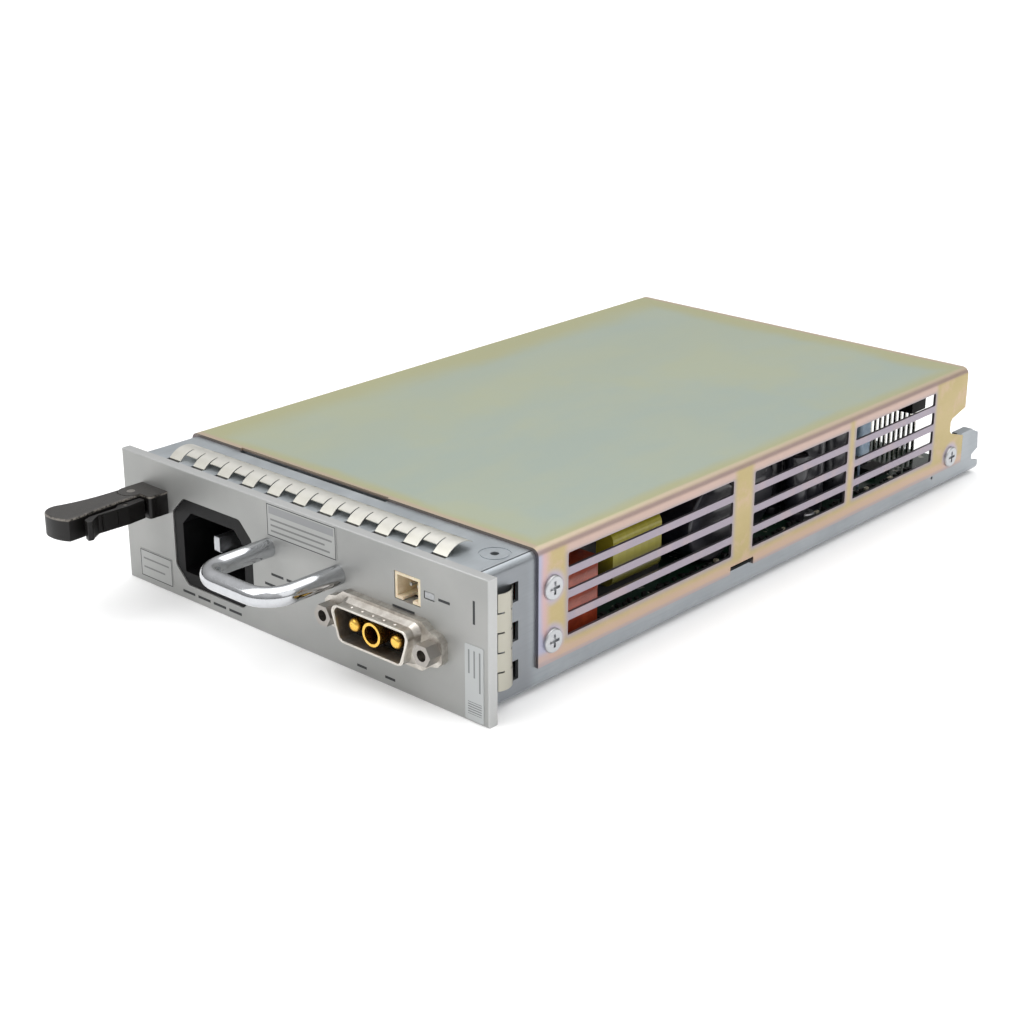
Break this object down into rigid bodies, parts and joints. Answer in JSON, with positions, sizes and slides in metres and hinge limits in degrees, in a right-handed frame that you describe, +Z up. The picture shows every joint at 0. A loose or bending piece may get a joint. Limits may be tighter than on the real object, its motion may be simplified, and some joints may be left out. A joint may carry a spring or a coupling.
{
  "type": "plug-in power module",
  "caption": "Slim plug-in mains power and battery backup module with sheet-metal case, inlet, battery socket, pull handle and ejector lever.",
  "frame": {"origin": "middle of the module's width and length, on the plane of the front panel's bottom edge", "axes": "+Y to the rear along the module's length, +X to the right seen from the front, +Z up"},
  "size_m": [0.1328, 0.259, 0.0383],
  "materials": {
    "panel_alloy": "satin, warm grey, bare cut edges",
    "zinc_sheet": "zinc plated sheet steel",
    "chromate_sheet": "yellow chromate on zinc, iridescent",
    "finger_metal": "bright nickel plated spring strip",
    "black_moulding": "fine moulded texture",
    "tin_plate": "dull tin plate",
    "gold_plate": "gold plated",
    "steel_hardware": "bright nickel plated steel",
    "cream_nylon": "natural nylon",
    "light_pipe": "diffuse light pipe",
    "chrome_rod": "polished chrome plate",
    "lever_moulding": "worn glass-filled nylon",
    "label_film": "printed polyester film",
    "liner_film": "black insulating film",
    "board_laminate": "dark green solder mask",
    "copper_lead": "insulated stranded wire",
    "ceramic_tube": "glazed fuse tube",
    "ferrite": "sintered ferrite",
    "wound_copper": "enamelled copper",
    "yellow_tape": "yellow polyester tape",
    "red_epoxy": "orange-red box",
    "blue_epoxy": "pale blue box",
    "can_sleeve": "shrink sleeve over aluminium can",
    "black_anodised": "black anodised extrusion",
    "black_epoxy": "moulded semiconductor package"
  },
  "bodies": {
    "module": {"front_panel": "panel_alloy", "chassis_tray": "zinc_sheet", "top_cover": "chromate_sheet", "gasket_strip_top": "finger_metal", "gasket_strip_side": "finger_metal", "inlet_housing": "black_moulding", "inlet_pins": "steel_hardware", "inlet_wires": "copper_lead", "battery_shell": "tin_plate", "battery_insulator": "black_moulding", "battery_pins": "gold_plate", "battery_centre_contact": "gold_plate", "battery_wires": "copper_lead", "jackscrews": "steel_hardware", "jackscrew_nuts": "steel_hardware", "sensor_header": "cream_nylon", "sensor_pins": "steel_hardware", "status_light": "light_pipe", "signal_board": "board_laminate", "signal_wires": "copper_lead", "pull_handle": "chrome_rod", "handle_screws": "steel_hardware", "lever_base": "lever_moulding", "lever_pin": "steel_hardware", "clinch_studs": "steel_hardware", "stud_nuts": "steel_hardware", "cover_screws": "steel_hardware", "clinch_nuts": "steel_hardware", "inlet_label": "label_film", "handle_label": "label_film", "serial_label": "label_film", "insulating_liner": "liner_film", "main_board": "board_laminate", "board_standoffs": "steel_hardware", "board_screws": "steel_hardware", "fuse_clips": "steel_hardware", "input_fuse": "ceramic_tube", "filter_choke_core": "ferrite", "filter_choke_coils": "wound_copper", "film_capacitors": "red_epoxy", "bridge_rectifier": "black_epoxy", "transformer_core": "ferrite", "transformer_winding": "yellow_tape", "bulk_capacitors": "can_sleeve", "boost_inductor_core": "ferrite", "boost_inductor_winding": "wound_copper", "primary_heat_sink": "black_anodised", "power_transistors": "black_epoxy", "transistor_clips": "steel_hardware", "output_heat_sink": "black_anodised", "output_capacitors": "can_sleeve", "suppression_capacitor": "blue_epoxy", "control_card": "board_laminate", "board_chips": "black_epoxy", "rear_header": "black_moulding", "backplane_connector": "black_moulding", "rear_contacts": "gold_plate"},
    "lever": {"ejector_lever": "lever_moulding"},
    "latch": {"lever_latch": "lever_moulding", "latch_pin": "steel_hardware"}
  },
  "joints": [
    {"name": "lever_swing", "type": "hinge", "parent": "module", "child": "lever", "pos_m": [-0.055, -0.10472, 0.026], "axis": [0, 0, -1], "range_deg": [0, 28]},
    {"name": "latch_press", "type": "hinge", "parent": "lever", "child": "latch", "pos_m": [-0.0498, -0.11052, 0.0258], "axis": [0, 0, -1], "range_deg": [0, 3.5], "stiffness_Nm_per_rad": 0.02}
  ]
}
